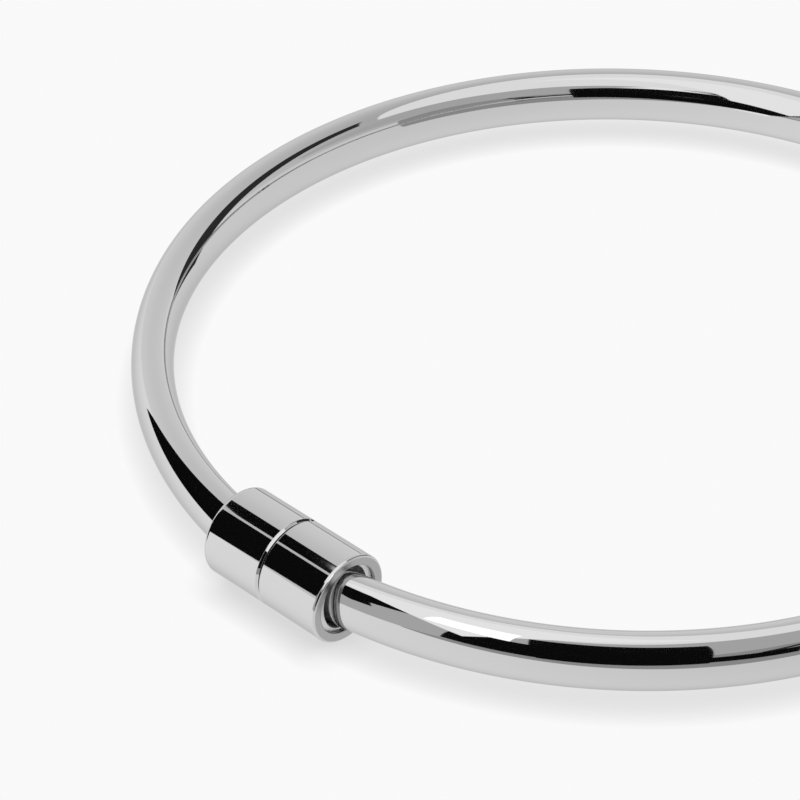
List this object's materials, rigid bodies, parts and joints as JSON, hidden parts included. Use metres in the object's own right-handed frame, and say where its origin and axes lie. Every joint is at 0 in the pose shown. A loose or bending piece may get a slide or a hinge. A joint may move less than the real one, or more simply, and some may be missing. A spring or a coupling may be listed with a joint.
{
  "type": "bangle bracelet",
  "caption": "Slim polished hinged bangle of oval wire that closes with a round screw barrel clasp.",
  "frame": {"origin": "centre of the hoop, half way up its wire", "axes": "+Z is the hoop's axis. The barrel clasp is at -Y, its axis along X, with the turning nut on the +X side. The hinge is at +Y."},
  "size_m": [0.0646, 0.0661, 0.0058],
  "materials": {
    "polished_wire": "mirror polished",
    "turned_clasp": "turned and mirror polished",
    "clasp_works": "fine turned, not polished",
    "hinge_metal": "mirror polished"
  },
  "bodies": {
    "fixed_half": {"fixed_arm": "polished_wire", "hinge_fork": "hinge_metal", "hinge_pin": "hinge_metal", "clasp_collar": "turned_clasp", "threaded_stud": "clasp_works"},
    "swing_half": {"swing_arm": "polished_wire", "hinge_tongue": "hinge_metal", "end_button": "clasp_works", "locating_pin": "clasp_works"},
    "guide": {"guide_ring": "clasp_works"},
    "nut": {"clasp_nut": "turned_clasp"}
  },
  "joints": [
    {"name": "hinge_swing", "type": "hinge", "parent": "fixed_half", "child": "swing_half", "pos_m": [0, 0.0309, 0], "axis": [0, 0, 1], "range_deg": [0, 80]},
    {"name": "nut_travel", "type": "slide", "parent": "swing_half", "child": "guide", "axis": [1, 0, 0], "range_m": [0, 0.002]},
    {"name": "nut_turn", "type": "hinge", "parent": "guide", "child": "nut", "pos_m": [0, -0.03053, 0], "axis": [1, 0, 0], "range_deg": [0, 1440]}
  ],
  "couplings": [
    {"joint": "nut_turn", "follows": "nut_travel", "rad_per_m": 12566}
  ]
}
